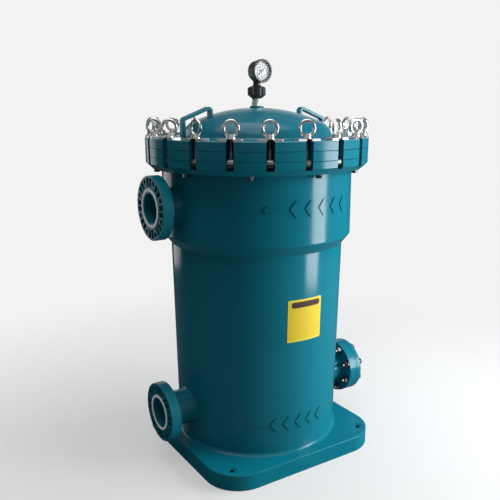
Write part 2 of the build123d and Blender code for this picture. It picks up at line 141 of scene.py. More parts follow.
def shader_group(
    name: str, inputs: Sequence[tuple[str, str, Any]], outputs: Sequence[tuple[str, str]]
) -> Bench:
    """Starts a shader node group with named sockets.

    Args:
        name: the group's name.
        inputs: socket name, socket type and default value of each input.
        outputs: socket name and socket type of each output.

    Returns:
        A bench on the group's tree, with its input and output nodes in place.
    """
    tree = bpy.data.node_groups.new(name, "ShaderNodeTree")
    for label, kind, default in inputs:
        socket = tree.interface.new_socket(label, in_out="INPUT", socket_type=kind)
        if default is not None:
            socket.default_value = default
    for label, kind in outputs:
        tree.interface.new_socket(label, in_out="OUTPUT", socket_type=kind)
    bench = Bench(tree)
    bench.add("NodeGroupInput")
    bench.add("NodeGroupOutput")
    return bench


def ends(bench: Bench) -> tuple[bpy.types.Node, bpy.types.Node]:
    """Returns a group's input and output nodes."""
    nodes = list(bench.tree.nodes)
    source = next(n for n in nodes if n.bl_idname == "NodeGroupInput")
    sink = next(n for n in nodes if n.bl_idname == "NodeGroupOutput")
    return source, sink


# ---------------------------------------------------------------------------
# Effects that several finishes share
# ---------------------------------------------------------------------------
class Effect(Enum):
    """The shared surface effects."""

    MOTTLE = "mottle"
    LEVEL_LINE = "level_line"
    SPECKLE = "speckle"
    SETTLED_DUST = "settled_dust"


class EffectLibrary:
    """Builds each shared effect once, as a shader node group."""

    def __init__(self) -> None:
        """Makes the groups."""
        self.trees: dict[Effect, bpy.types.NodeTree] = {
            Effect.MOTTLE: self._mottle(),
            Effect.LEVEL_LINE: self._level_line(),
            Effect.SPECKLE: self._speckle(),
            Effect.SETTLED_DUST: self._settled_dust(),
        }

    def place(self, bench: Bench, effect: Effect, **plugs: Any) -> bpy.types.Node:
        """Places an effect in a material.

        Args:
            bench: the material's bench.
            effect: which effect.
            plugs: values or sockets for the group's inputs.

        Returns:
            The group node.
        """
        node = bench.add("ShaderNodeGroup", {"node_tree": self.trees[effect]})
        for key, value in plugs.items():
            bench.plug(node.inputs[key.replace("_", " ")], value)
        return node

    def _mottle(self) -> bpy.types.NodeTree:
        """Cloudy variation with a finer grain, as in coloured moulded plastic or cast metal."""
        bench = shader_group(
            "mottle",
            [("Vector", VECTOR, None), ("Cloud Scale", FLOAT, 4.0),
             ("Grain Scale", FLOAT, 400.0)],
            [("Cloud", FLOAT), ("Grain", FLOAT)],
        )
        source, sink = ends(bench)
        cloud = bench.add("ShaderNodeTexNoise", Vector=source.outputs["Vector"],
                          Scale=source.outputs["Cloud Scale"], Detail=4.0, Roughness=0.55)
        grain = bench.add("ShaderNodeTexNoise", Vector=source.outputs["Vector"],
                          Scale=source.outputs["Grain Scale"], Detail=2.0, Roughness=0.5)
        bench.plug(sink.inputs["Cloud"], bench.ramp(cloud.outputs[0], 0.25, 0.75))
        bench.plug(sink.inputs["Grain"], grain.outputs[0])
        return bench.tree

    def _level_line(self) -> bpy.types.NodeTree:
        """A thin broken line round upright walls at one height, masking the painted shade along seams and the painted
        highlight along a moulded rim.
        """
        bench = shader_group(
            "level_line",
            [("Vector", VECTOR, None), ("Normal", VECTOR, None),
             ("Level", FLOAT, 1.0), ("Half Width", FLOAT, 0.0015),
             ("Least Radius", FLOAT, 0.0), ("Breakup", FLOAT, 0.3)],
            [("Mask", FLOAT)],
        )
        source, sink = ends(bench)
        place = bench.add("ShaderNodeSeparateXYZ", Vector=source.outputs["Vector"])
        facing = bench.add("ShaderNodeSeparateXYZ", Vector=source.outputs["Normal"])
        away = bench.math("ABSOLUTE", bench.math("SUBTRACT", place.outputs[2], source.outputs["Level"]))
        share = bench.math("DIVIDE", away, source.outputs["Half Width"])
        near = bench.math("SUBTRACT", 1.0, share, clamp=True)
        across = bench.math("POWER", place.outputs[0], 2.0)
        along = bench.math("POWER", place.outputs[1], 2.0)
        radius = bench.math("SQRT", bench.math("ADD", across, along))
        outside = bench.math("GREATER_THAN", radius, source.outputs["Least Radius"])
        upright = bench.math("SUBTRACT", 1.0, bench.math("POWER", facing.outputs[2], 8.0), clamp=True)
        noise = bench.add("ShaderNodeTexNoise", Vector=source.outputs["Vector"], Scale=38.0, Detail=3.0)
        broken = bench.math("MULTIPLY", noise.outputs[0], source.outputs["Breakup"])
        whole = bench.math("SUBTRACT", 1.0, broken, clamp=True)
        placed = bench.math("MULTIPLY", near, outside)
        mask = bench.math("MULTIPLY", placed, bench.math("MULTIPLY", upright, whole))
        bench.plug(sink.inputs["Mask"], mask)
        return bench.tree

    def _speckle(self) -> bpy.types.NodeTree:
        """Small scattered spots."""
        bench = shader_group(
            "speckle",
            [("Vector", VECTOR, None), ("Scale", FLOAT, 300.0),
             ("Cutoff", FLOAT, 0.7)],
            [("Mask", FLOAT)],
        )
        source, sink = ends(bench)
        noise = bench.add("ShaderNodeTexNoise", Vector=source.outputs["Vector"],
                          Scale=source.outputs["Scale"], Detail=1.0)
        over = bench.math("SUBTRACT", noise.outputs[0], source.outputs["Cutoff"])
        bench.plug(sink.inputs["Mask"], bench.math("MULTIPLY", over, 12.0, clamp=True))
        return bench.tree

    def _settled_dust(self) -> bpy.types.NodeTree:
        """Thin dust on surfaces that face up."""
        bench = shader_group(
            "settled_dust",
            [("Vector", VECTOR, None), ("Normal", VECTOR, None),
             ("Amount", FLOAT, 0.2)],
            [("Mask", FLOAT)],
        )
        source, sink = ends(bench)
        facing = bench.add("ShaderNodeSeparateXYZ", Vector=source.outputs["Normal"])
        upward = bench.ramp(facing.outputs[2], 0.55, 1.0)
        noise = bench.add("ShaderNodeTexNoise", Vector=source.outputs["Vector"], Scale=22.0, Detail=5.0)
        patch = bench.ramp(noise.outputs[0], 0.35, 0.75)
        mask = bench.math("MULTIPLY", bench.math("MULTIPLY", upward, patch), source.outputs["Amount"])
        bench.plug(sink.inputs["Mask"], mask)
        return bench.tree


# ---------------------------------------------------------------------------
# Finishes
# ---------------------------------------------------------------------------
class Slot(Enum):
    """The record's material slots."""

    BODY = "teal_plastic"
    LID = "teal_lid"
    BASE = "teal_base"
    WHITE_SEAL = "white_seal"
    RUBBER = "black_rubber"
    BOLT = "steel_bolt"
    NUT = "steel_nut"
    PLATE = "steel_plate"
    NATURAL = "natural_plastic"
    BLACK = "black_plastic"
    DIAL = "dial_white"
    POINTER = "pointer_black"
    BASKET = "basket_plastic"
    SHEET = "sheet_plastic"


class Brush(Enum):
    """How a steel surface was worked."""

    CAST = "cast"
    DRAWN = "drawn"
    ROLLED = "rolled"


def start_material(name: str) -> tuple[bpy.types.Material, Bench, bpy.types.Node]:
    """Starts a node material.

    Args:
        name: the material's name.

    Returns:
        The material, its bench and its surface shader.
    """
    material = bpy.data.materials.new(name)
    material.use_nodes = True
    surface = material.node_tree.nodes["Principled BSDF"]
    return material, Bench(material.node_tree), surface


@dataclass(frozen=True)
class LevelLine:
    """One line of painted light round the object at a height: painted shade along a seam, painted highlight along a
    rim.

    Attributes:
        level: height of the line's middle.
        half_width: half of its width.
        least_radius: the line shows only outside this radius.
        colour: the line's colour, a painted shade colour at seams and a painted highlight colour at rims.
        strength: how far the colour covers, 0 to 1.
    """

    level: float
    half_width: float
    least_radius: float
    colour: Rgb
    strength: float


@dataclass(frozen=True)
class MouldedFinish:
    """Coloured moulded plastic, satin to glossy.

    Attributes:
        name: material name.
        colour: the plastic's own colour.
        pale: the colour that clouds and light scuffs tend to.
        roughness: mean roughness.
        gloss: specular level.
        grain: bump distance of the fine moulded grain.
        wave: bump distance of the slow waviness of a large moulding.
        dust: amount of dust on upward faces.
        lines: painted shade lines along seams and painted highlight lines along rims.
    """

    name: str
    colour: Rgb
    pale: Rgb
    roughness: float = 0.15
    gloss: float = 0.32
    grain: float = 0.00003
    wave: float = 0.0008
    dust: float = 0.0
    lines: tuple[LevelLine, ...] = ()

    def build(self, effects: EffectLibrary) -> bpy.types.Material:
        """Makes the material from the shared effects."""
        material, bench, surface = start_material(self.name)
        where = bench.add("ShaderNodeTexCoord").outputs["Object"]
        normal = bench.add("ShaderNodeNewGeometry").outputs["Normal"]
        mottle = effects.place(bench, Effect.MOTTLE, Vector=where, Cloud_Scale=5.0, Grain_Scale=420.0)
        scuff = effects.place(bench, Effect.SPECKLE, Vector=where, Scale=150.0, Cutoff=0.7)
        cloud = bench.math("MULTIPLY", mottle.outputs["Cloud"], 0.22)
        tone = bench.blend(cloud, rgba(self.colour), rgba(self.pale))
        tone = bench.blend(bench.math("MULTIPLY", scuff.outputs["Mask"], 0.10), tone, rgba(self.pale))
        if self.dust > 0:
            dust = effects.place(bench, Effect.SETTLED_DUST, Vector=where, Normal=normal, Amount=self.dust)
            tone = bench.blend(dust.outputs["Mask"], tone, (0.42, 0.46, 0.46, 1.0))
        # These lines paint shade along the seams and a highlight along the lid's top rim into the colour.
        for line in self.lines:
            mask = effects.place(
                bench, Effect.LEVEL_LINE, Vector=where, Normal=normal, Level=line.level,
                Half_Width=line.half_width, Least_Radius=line.least_radius, Breakup=0.35,
            )
            cover = bench.math("MULTIPLY", mask.outputs["Mask"], line.strength)
            tone = bench.blend(cover, tone, rgba(line.colour))
        bench.plug(surface.inputs["Base Color"], tone)
        rough = bench.math("MULTIPLY", bench.math("SUBTRACT", mottle.outputs["Cloud"], 0.5), 0.05)
        bench.plug(surface.inputs["Roughness"], bench.math("ADD", rough, self.roughness, clamp=True))
        surface.inputs["Specular IOR Level"].default_value = self.gloss
        slow = bench.add("ShaderNodeTexNoise", Vector=where, Scale=3.2, Detail=1.0)
        coarse = bench.add("ShaderNodeBump", Height=slow.outputs[0], Distance=self.wave, Strength=1.0)
        fine = bench.add("ShaderNodeBump", Height=mottle.outputs["Grain"], Distance=self.grain, Strength=1.0,
                         Normal=coarse.outputs[0])
        bench.plug(surface.inputs["Normal"], fine.outputs[0])
        return material


@dataclass(frozen=True)
class SteelFinish:
    """Stainless steel.

    Attributes:
        name: material name.
        colour: reflectance.
        roughness: mean roughness.
        brush: how the surface was worked.
        stain: how strongly darker tarnish shows.
    """

    name: str
    colour: Rgb
    roughness: float
    brush: Brush
    stain: float = 0.3

    def build(self, effects: EffectLibrary) -> bpy.types.Material:
        """Makes the material from the shared effects."""
        stretch = {Brush.CAST: (1.0, 1.0, 1.0), Brush.DRAWN: (1.0, 1.0, 0.03), Brush.ROLLED: (0.05, 1.0, 1.0)}
        material, bench, surface = start_material(self.name)
        where = bench.add("ShaderNodeTexCoord").outputs["Object"]
        mapped = bench.add("ShaderNodeMapping", Vector=where, Scale=stretch[self.brush]).outputs[0]
        mottle = effects.place(bench, Effect.MOTTLE, Vector=mapped, Cloud_Scale=60.0, Grain_Scale=900.0)
        dark = tuple(channel * 0.45 for channel in self.colour)
        shade = bench.math("MULTIPLY", mottle.outputs["Cloud"], self.stain)
        bench.plug(surface.inputs["Base Color"], bench.blend(shade, rgba(self.colour), rgba(dark)))
        surface.inputs["Metallic"].default_value = 1.0
        rough = bench.math("MULTIPLY", bench.math("SUBTRACT", mottle.outputs["Grain"], 0.5), 0.25)
        bench.plug(surface.inputs["Roughness"], bench.math("ADD", rough, self.roughness, clamp=True))
        depth = 0.00012 if self.brush is Brush.CAST else 0.00003
        bump = bench.add("ShaderNodeBump", Height=mottle.outputs["Grain"], Distance=depth, Strength=1.0)
        bench.plug(surface.inputs["Normal"], bump.outputs[0])
        return material


@dataclass(frozen=True)
class PlainFinish:
    """A matt or satin coating, rubber, card or print with a fine texture.

    Attributes:
        name: material name.
        colour: main colour.
        second: colour of its spots and clouds.
        mix: how much of the second colour shows.
        roughness: mean roughness.
        scale: scale of the texture.
        bump: bump distance.
        coat: clear coat weight.
    """

    name: str
    colour: Rgb
    second: Rgb
    mix: float = 0.3
    roughness: float = 0.5
    scale: float = 300.0
    bump: float = 0.00003
    coat: float = 0.0

    def build(self, effects: EffectLibrary) -> bpy.types.Material:
        """Makes the material from the shared effects."""
        material, bench, surface = start_material(self.name)
        where = bench.add("ShaderNodeTexCoord").outputs["Object"]
        mottle = effects.place(bench, Effect.MOTTLE, Vector=where, Cloud_Scale=self.scale / 12,
                               Grain_Scale=self.scale)
        speck = effects.place(bench, Effect.SPECKLE, Vector=where, Scale=self.scale * 1.5, Cutoff=0.68)
        amount = bench.math("MAXIMUM", bench.math("MULTIPLY", mottle.outputs["Cloud"], self.mix),
                            bench.math("MULTIPLY", speck.outputs["Mask"], self.mix))
        bench.plug(surface.inputs["Base Color"], bench.blend(amount, rgba(self.colour), rgba(self.second)))
        rough = bench.math("MULTIPLY", bench.math("SUBTRACT", mottle.outputs["Grain"], 0.5), 0.15)
        bench.plug(surface.inputs["Roughness"], bench.math("ADD", rough, self.roughness, clamp=True))
        surface.inputs["Coat Weight"].default_value = self.coat
        bump = bench.add("ShaderNodeBump", Height=mottle.outputs["Grain"], Distance=self.bump, Strength=1.0)
        bench.plug(surface.inputs["Normal"], bump.outputs[0])
        return material


@dataclass(frozen=True)
class ClearFinish:
    """Clear moulded lens that lets light through to what is behind it.

    Attributes:
        name: material name.
        tint: colour of the clear plastic.
        roughness: mean roughness.
    """

    name: str
    tint: Rgb
    roughness: float

    def build(self, effects: EffectLibrary) -> bpy.types.Material:
        """Makes the material from the shared effects."""
        material, bench, surface = start_material(self.name)
        where = bench.add("ShaderNodeTexCoord").outputs["Object"]
        mottle = effects.place(bench, Effect.MOTTLE, Vector=where, Cloud_Scale=30.0, Grain_Scale=900.0)
        smear = bench.math("MULTIPLY", mottle.outputs["Cloud"], 0.05)
        surface.inputs["Base Color"].default_value = rgba(self.tint)
        bench.plug(surface.inputs["Roughness"], bench.math("ADD", smear, self.roughness, clamp=True))
        surface.inputs["Transmission Weight"].default_value = 1.0
        surface.inputs["IOR"].default_value = 1.18
        through = bench.add("ShaderNodeBsdfTransparent")
        ray = bench.add("ShaderNodeLightPath").outputs["Is Shadow Ray"]
        mix = bench.add("ShaderNodeMixShader")
        for index, item in enumerate((ray, surface.outputs[0], through.outputs[0])):
            bench.plug(mix.inputs[index], item)
        bench.plug(material.node_tree.nodes["Material Output"].inputs["Surface"], mix.outputs[0])
        return material


class Palette:
    """All finishes of the housing."""

    TEAL: Rgb = (0.005, 0.150, 0.206)
    TEAL_PALE: Rgb = (0.012, 0.190, 0.254)
    # Painted shade for the seam grooves and a painted highlight for the lid's top rim.
    SEAM_DARK: Rgb = (0.001, 0.012, 0.018)
    RIM_PALE: Rgb = (0.22, 0.48, 0.54)

    def __init__(self, effects: EffectLibrary, levels: dict[str, float]) -> None:
        """Builds every finish.

        Args:
            effects: the shared effects.
            levels: heights of the cover joint's seams and rims, where shade and a highlight are painted.
        """
        rim = 0.378
        # Painted shade at the body's two seams; the lid adds a painted highlight along its top rim.
        body_painted_seam_shade = (
            LevelLine(levels["joint"], 0.0016, rim, self.SEAM_DARK, 0.85),
            LevelLine(levels["ring"], 0.0016, rim, self.SEAM_DARK, 0.85),
        )
        lid_painted_rim_highlight_and_seam_shade = (
            LevelLine(levels["lid_top"], 0.0034, rim, self.RIM_PALE, 0.55),
            LevelLine(levels["joint"], 0.0016, rim, self.SEAM_DARK, 0.85),
        )
        body = MouldedFinish("body_plastic", self.TEAL, self.TEAL_PALE, lines=body_painted_seam_shade)
        lid = MouldedFinish(
            "lid_plastic", (0.004, 0.150, 0.215), (0.02, 0.20, 0.27), roughness=0.22, dust=0.04, lines=lid_painted_rim_highlight_and_seam_shade
        )
        base = MouldedFinish(
            "base_plastic", (0.002, 0.155, 0.212), (0.008, 0.20, 0.268), roughness=0.24, gloss=0.22
        )
        self.marks = MouldedFinish("raised_mark_plastic", self.TEAL, self.TEAL_PALE, wave=0.0).build(effects)
        self.lens = ClearFinish("gauge_lens_clear", (0.97, 0.98, 0.98), 0.03).build(effects)
        self.ink = PlainFinish(
            "scale_ink", (0.012, 0.012, 0.014), (0.04, 0.04, 0.045), 0.3, 0.5, 900.0
        ).build(effects)
        self.plate_yellow = PlainFinish(
            "rating_plate_yellow", (0.68, 0.495, 0.003), (0.60, 0.42, 0.003), 0.35, 0.55, 260.0, 0.00001
        ).build(effects)
        self.plate_border = PlainFinish(
            "rating_plate_border", (0.74, 0.65, 0.05), (0.66, 0.56, 0.04), 0.3, 0.55, 260.0, 0.00001
        ).build(effects)
        self.plate_header = PlainFinish(
            "rating_plate_header", (0.034, 0.008, 0.004), (0.09, 0.018, 0.010), 0.4, 0.60, 400.0, 0.00001
        ).build(effects)
        self.screw = SteelFinish("ring_screw_steel", (0.13, 0.15, 0.16), 0.36, Brush.CAST, 0.4).build(effects)
        finishes = {
            Slot.BODY: body,
            Slot.LID: lid,
            Slot.BASE: base,
            Slot.WHITE_SEAL: PlainFinish("white_face_seal", (0.93, 0.95, 0.97), (0.84, 0.86, 0.88)),
            Slot.RUBBER: PlainFinish("black_rubber", (0.014, 0.014, 0.015), (0.04, 0.04, 0.042), 0.4, 0.7),
            # The bolt steel is darker than bare stainless: its colour is partly the steel's own tone and partly
            # painted shade of the bolt slots.
            Slot.BOLT: SteelFinish("drawn_bolt_steel_painted_slot_shade", (0.25, 0.245, 0.23), 0.28, Brush.DRAWN, 0.4),
            Slot.NUT: SteelFinish("cast_nut_steel", (0.78, 0.76, 0.74), 0.24, Brush.CAST, 0.2),
            Slot.PLATE: SteelFinish("rolled_plate_steel", (0.80, 0.78, 0.77), 0.42, Brush.ROLLED, 0.15),
            Slot.NATURAL: PlainFinish("natural_plastic", (0.66, 0.68, 0.66), (0.52, 0.55, 0.53), 0.4, 0.3),
            Slot.BLACK: PlainFinish("black_moulding", (0.024, 0.027, 0.030), (0.06, 0.066, 0.072), 0.35, 0.33, 420.0,
                                    0.00004),
            # The dial card is darker than a white card: its colour paints the darkening under the lens.
            Slot.DIAL: PlainFinish("dial_card_painted_lens_shade", (0.25, 0.255, 0.27), (0.20, 0.205, 0.22), 0.25, 0.55, 500.0),
            Slot.POINTER: PlainFinish("pointer_enamel", (0.012, 0.012, 0.013), (0.05, 0.05, 0.05), 0.2, 0.35),
            Slot.BASKET: MouldedFinish("basket_plastic", (0.62, 0.62, 0.58), (0.74, 0.73, 0.69), 0.45),
            Slot.SHEET: MouldedFinish("sheet_plastic", (0.010, 0.10, 0.125), (0.04, 0.19, 0.22), 0.42),
        }
        self.by_slot: dict[Slot, bpy.types.Material] = {
            slot: finish.build(effects) for slot, finish in finishes.items()
        }

    def dress_packed_nodes(self) -> int:
        """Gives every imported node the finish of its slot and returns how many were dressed."""
        slots = {part["node"]: Slot(part["material_slot"]) for part in frame["record"]["subparts"]}
        for name, node in frame["nodes"].items():
            for place in node.material_slots:
                place.material = self.by_slot[slots[name]]
        return len(slots)


# ---------------------------------------------------------------------------
# Mesh helpers
# ---------------------------------------------------------------------------
def show(name: str, mesh: bpy.types.Mesh) -> bpy.types.Object:
    """Puts a mesh in the scene as a piece at the origin."""
    piece = bpy.data.objects.new(name, mesh)
    bpy.context.scene.collection.objects.link(piece)
    return piece


def finish_mesh(name: str, work: bmesh.types.BMesh, material: bpy.types.Material) -> bpy.types.Object:
    """Closes a mesh up, turns its faces outwards and makes a piece of it.

    Args:
        name: the piece's name.
        work: the mesh in the making, freed here.
        material: its finish.

    Returns:
        The piece.
    """
    bmesh.ops.remove_doubles(work, verts=work.verts, dist=1e-7)
    bmesh.ops.dissolve_degenerate(work, edges=work.edges, dist=1e-8)
    bmesh.ops.recalc_face_normals(work, faces=work.faces)
    mesh = bpy.data.meshes.new(name)
    work.to_mesh(mesh)
    work.free()
    mesh.materials.append(material)
    return show(name, mesh)


def smooth_by_angle(piece: bpy.types.Object, degrees: float = 35.0) -> None:
    """Shades a piece smooth, with its sharper edges kept."""
    piece.data.shade_smooth()
    piece.data.set_sharp_from_angle(angle=math.radians(degrees))


def stitch(work: bmesh.types.BMesh, rings: Sequence[Sequence[bmesh.types.BMVert]], closed: bool = True) -> None:
    """Joins neighbouring rings of points with faces, and the last to the first where closed."""
    for step in range(len(rings) if closed else len(rings) - 1):
        here, there = rings[step], rings[(step + 1) % len(rings)]
        for index in range(len(here)):
            after = (index + 1) % len(here)
            work.faces.new((here[index], there[index], there[after], here[after]))


def lathe(
    name: str,
    outline: Outline,
    place: Callable[[float, float, float], Point],
    material: bpy.types.Material,
    segments: int = 96,
) -> bpy.types.Object:
    """Turns a closed outline round an axis.

    Args:
        name: the piece's name.
        outline: radius and height pairs, closed.
        place: maps radius, angle and height to a point.
        material: its finish.
        segments: steps round the axis.

    Returns:
        The piece.
    """
    work = bmesh.new()
    rings = []
    for step in range(segments):
        angle = FULL_TURN * step / segments
        rings.append([work.verts.new(place(radius, angle, height)) for radius, height in outline])
    stitch(work, rings)
    piece = finish_mesh(name, work, material)
    smooth_by_angle(piece)
    return piece


class GeometryRig:
    """One geometry node tree with named inputs, run to a plain mesh each time it is used."""

    def __init__(self, name: str, inputs: Sequence[tuple[str, str, Any]]) -> None:
        """Starts the tree.

        Args:
            name: the tree's name.
            inputs: socket name, socket type and default value of each input.
        """
        self.tree = bpy.data.node_groups.new(name, "GeometryNodeTree")
        for label, kind, default in inputs:
            socket = self.tree.interface.new_socket(label, in_out="INPUT", socket_type=kind)
            if default is not None:
                socket.default_value = default
        self.tree.interface.new_socket("Material", in_out="INPUT", socket_type="NodeSocketMaterial")
        self.tree.interface.new_socket("Geometry", in_out="OUTPUT", socket_type="NodeSocketGeometry")
        self.bench = Bench(self.tree)
        self.source = self.bench.add("NodeGroupInput")
        self.sink = self.bench.add("NodeGroupOutput")

    def value(self, label: str) -> Socket:
        """Returns a named input's socket."""
        return self.source.outputs[label]

    def close(self, geometry: Socket) -> None:
        """Ends the tree in real geometry with its material."""
        real = self.bench.add("GeometryNodeRealizeInstances", Geometry=geometry)
        coloured = self.bench.add("GeometryNodeSetMaterial", Geometry=real.outputs[0])
        self.bench.plug(coloured.inputs["Material"], self.value("Material"))
        self.bench.plug(self.sink.inputs["Geometry"], coloured.outputs[0])

    def polar(self, instance: Socket, count: Any, start: Any, step: Any) -> Socket:
        """Repeats a shape round the Z axis.

        Args:
            instance: the shape, already at its radius.
            count: how many.
            start: first angle in radians.
            step: angle between two.

        Returns:
            The instances' socket.
        """
        bench = self.bench
        line = bench.add("GeometryNodeMeshLine", Count=count, Offset=(0.0, 0.0, 0.0))
        index = bench.add("GeometryNodeInputIndex").outputs[0]
        turn = bench.math("ADD", bench.math("MULTIPLY", index, step), start)
        angles = bench.add("ShaderNodeCombineXYZ", Z=turn).outputs[0]
        rotation = bench.add("FunctionNodeEulerToRotation", Euler=angles).outputs[0]
        placed = bench.add("GeometryNodeInstanceOnPoints", Points=line.outputs[0], Instance=instance)
        bench.plug(placed.inputs["Rotation"], rotation)
        return placed.outputs[0]

    def moved(self, geometry: Socket, offset: Any, turn: Any = (0.0, 0.0, 0.0)) -> Socket:
        """Turns a geometry, then moves it, and returns its socket."""
        node = self.bench.add("GeometryNodeTransform", Geometry=geometry)
        self.bench.plug(node.inputs["Translation"], offset)
        self.bench.plug(node.inputs["Rotation"], turn)
        return node.outputs[0]

    def run(self, name: str, material: bpy.types.Material, **values: Any) -> bpy.types.Object:
        """Runs the tree once.

        Args:
            name: the new piece's name.
            material: its finish.
            values: the inputs, by name with underscores for spaces.

        Returns:
            A piece with a plain mesh.
        """
        carrier = show(f"{name}_carrier", bpy.data.meshes.new(f"{name}_carrier"))
        modifier = carrier.modifiers.new("build", "NODES")
        modifier.node_group = self.tree
        wanted = {key.replace("_", " "): value for key, value in values.items()} | {"Material": material}
        for item in self.tree.interface.items_tree:
            if item.item_type == "SOCKET" and item.in_out == "INPUT" and item.name in wanted:
                modifier[item.identifier] = wanted[item.name]
        graph = bpy.context.evaluated_depsgraph_get()
        mesh = bpy.data.meshes.new_from_object(carrier.evaluated_get(graph))
        bpy.data.objects.remove(carrier)
        work = bmesh.new()
        work.from_mesh(mesh)
        bmesh.ops.remove_doubles(work, verts=work.verts, dist=1e-7)
        bmesh.ops.recalc_face_normals(work, faces=work.faces)
        work.to_mesh(mesh)
        work.free()
        mesh.name = name
        return show(name, mesh)


# ---------------------------------------------------------------------------
# Sub-assemblies
# ---------------------------------------------------------------------------
@dataclass
class CoverJoint:
    """What the swing-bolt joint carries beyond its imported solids: threads and ring screws.

    Attributes:
        circle_radius: radius of the bolt circle.
        bolt_count: number of swing bolts.
        thread_root: radius at the bottom of the thread.
        thread_height: how far the thread's ridge stands out.
        thread_pitch: rise of one turn.
        thread_low: height of the thread's lower end.
        thread_high: height of its upper end.
        screw_count: number of screws under the backing ring.
        screw_circle: radius of their circle.
        screw_flat: half of the width across the flats.
        screw_head: height of a screw head.
        ring_low: height of the ring's underside.
    """

    circle_radius: float = 0.363
    bolt_count: int = 20
    thread_root: float = 0.00675
    thread_height: float = 0.00105
    thread_pitch: float = 0.002
    thread_low: float = 1.1055
    thread_high: float = 1.1500
    screw_count: int = 10
    screw_circle: float = 0.348
    screw_flat: float = 0.0090
    screw_head: float = 0.0095
    ring_low: float = 1.030

    def build(self, palette: Palette) -> int:
        """Builds the threads and screws, and returns the number of pieces."""
        made = self._threads(palette)
        self._ring_screws(palette)
        return made + 1

    def _threads(self, palette: Palette) -> int:
        """Winds one thread on each swing bolt."""
        rig = GeometryRig("wound_thread", [
            ("Root Radius", FLOAT, 0.0068), ("Ridge", FLOAT, 0.001),
            ("Turns", FLOAT, 22.0), ("Height", FLOAT, 0.044),
            ("Place", VECTOR, (0.0, 0.0, 0.0)), ("Turn", VECTOR, (0.0, 0.0, 0.0)),
        ])
        bench = rig.bench
        spiral = bench.add("GeometryNodeCurveSpiral", Resolution=18, Rotations=rig.value("Turns"))
        for label in ("Start Radius", "End Radius"):
            bench.plug(spiral.inputs[label], rig.value("Root Radius"))
        bench.plug(spiral.inputs["Height"], rig.value("Height"))
        upright = bench.add("GeometryNodeSetCurveNormal", {"mode": "Z_UP"}, Curve=spiral.outputs[0])
        ridge = bench.add("GeometryNodeCurvePrimitiveCircle", Resolution=4, Radius=rig.value("Ridge"))
        tube = bench.add("GeometryNodeCurveToMesh", Curve=upright.outputs[0], Fill_Caps=True)
        bench.plug(tube.inputs["Profile Curve"], ridge.outputs[0])
        rig.close(rig.moved(tube.outputs[0], rig.value("Place"), rig.value("Turn")))
        height = self.thread_high - self.thread_low
        for number in range(1, self.bolt_count + 1):
            angle = math.radians(360 / self.bolt_count * (number - 0.5))
            across, along = self.circle_radius * math.cos(angle), self.circle_radius * math.sin(angle)
            spot = (across, along, self.thread_low)
            piece = rig.run(
                f"bolt_thread_{number:02d}", palette.by_slot[Slot.BOLT], Root_Radius=self.thread_root,
                Ridge=self.thread_height, Turns=height / self.thread_pitch, Height=height, Place=spot,
                Turn=(0.0, 0.0, angle),
            )
            smooth_by_angle(piece, 25.0)
            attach(piece, f"bolt_{number:02d}")
        return self.bolt_count

    def _ring_screws(self, palette: Palette) -> None:
        """Hangs the hexagon screws under the backing ring."""
        rig = GeometryRig("screw_circle", [
            ("Count", INTEGER, 10), ("Circle Radius", FLOAT, 0.35),
            ("Flat", FLOAT, 0.0075), ("Head", FLOAT, 0.0075),
            ("Washer", FLOAT, 0.0016), ("Level", FLOAT, 1.03),
            ("Start", FLOAT, 0.0),
        ])
        bench = rig.bench
        washer_share, crown_low, crown_high, crown_depth = 1.32, 0.82, 0.98, 0.0008
        corner = bench.math("MULTIPLY", rig.value("Flat"), 2 / math.sqrt(3))
        washer = bench.add("GeometryNodeMeshCylinder", Vertices=28, Depth=rig.value("Washer"))
        bench.plug(washer.inputs["Radius"], bench.math("MULTIPLY", rig.value("Flat"), washer_share))
        head = bench.add("GeometryNodeMeshCylinder", Vertices=6, Radius=corner, Depth=rig.value("Head"))
        crown = bench.add("GeometryNodeMeshCone", Vertices=28)
        bench.plug(crown.inputs["Radius Bottom"], bench.math("MULTIPLY", rig.value("Flat"), crown_low))
        bench.plug(crown.inputs["Radius Top"], bench.math("MULTIPLY", rig.value("Flat"), crown_high))
        bench.plug(crown.inputs["Depth"], crown_depth)
        half_washer = bench.math("MULTIPLY", rig.value("Washer"), -0.5)
        half_head = bench.math("MULTIPLY", rig.value("Head"), -0.5)
        head_mid = bench.math("SUBTRACT", half_head, rig.value("Washer"))
        under_head = bench.math("SUBTRACT", head_mid, crown_depth)
        head_low = bench.math("SUBTRACT", under_head, bench.math("MULTIPLY", half_head, -1.0))
        joined = bench.add("GeometryNodeJoinGeometry")
        for shape, drop in ((washer, half_washer), (head, head_mid), (crown, head_low)):
            offset = bench.add("ShaderNodeCombineXYZ", X=rig.value("Circle Radius"), Z=drop).outputs[0]
            bench.plug(joined.inputs[0], rig.moved(shape.outputs[0], offset))
        step = bench.math("DIVIDE", FULL_TURN, rig.value("Count"))
        ring = rig.polar(joined.outputs[0], rig.value("Count"), rig.value("Start"), step)
        lift = bench.add("ShaderNodeCombineXYZ", Z=rig.value("Level")).outputs[0]
        rig.close(rig.moved(ring, lift))
        piece = rig.run(
            "ring_screws", palette.screw, Count=self.screw_count, Circle_Radius=self.screw_circle,
            Flat=self.screw_flat, Head=self.screw_head, Level=self.ring_low, Start=math.radians(270),
        )
        smooth_by_angle(piece, 25.0)
        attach(piece, "vessel")


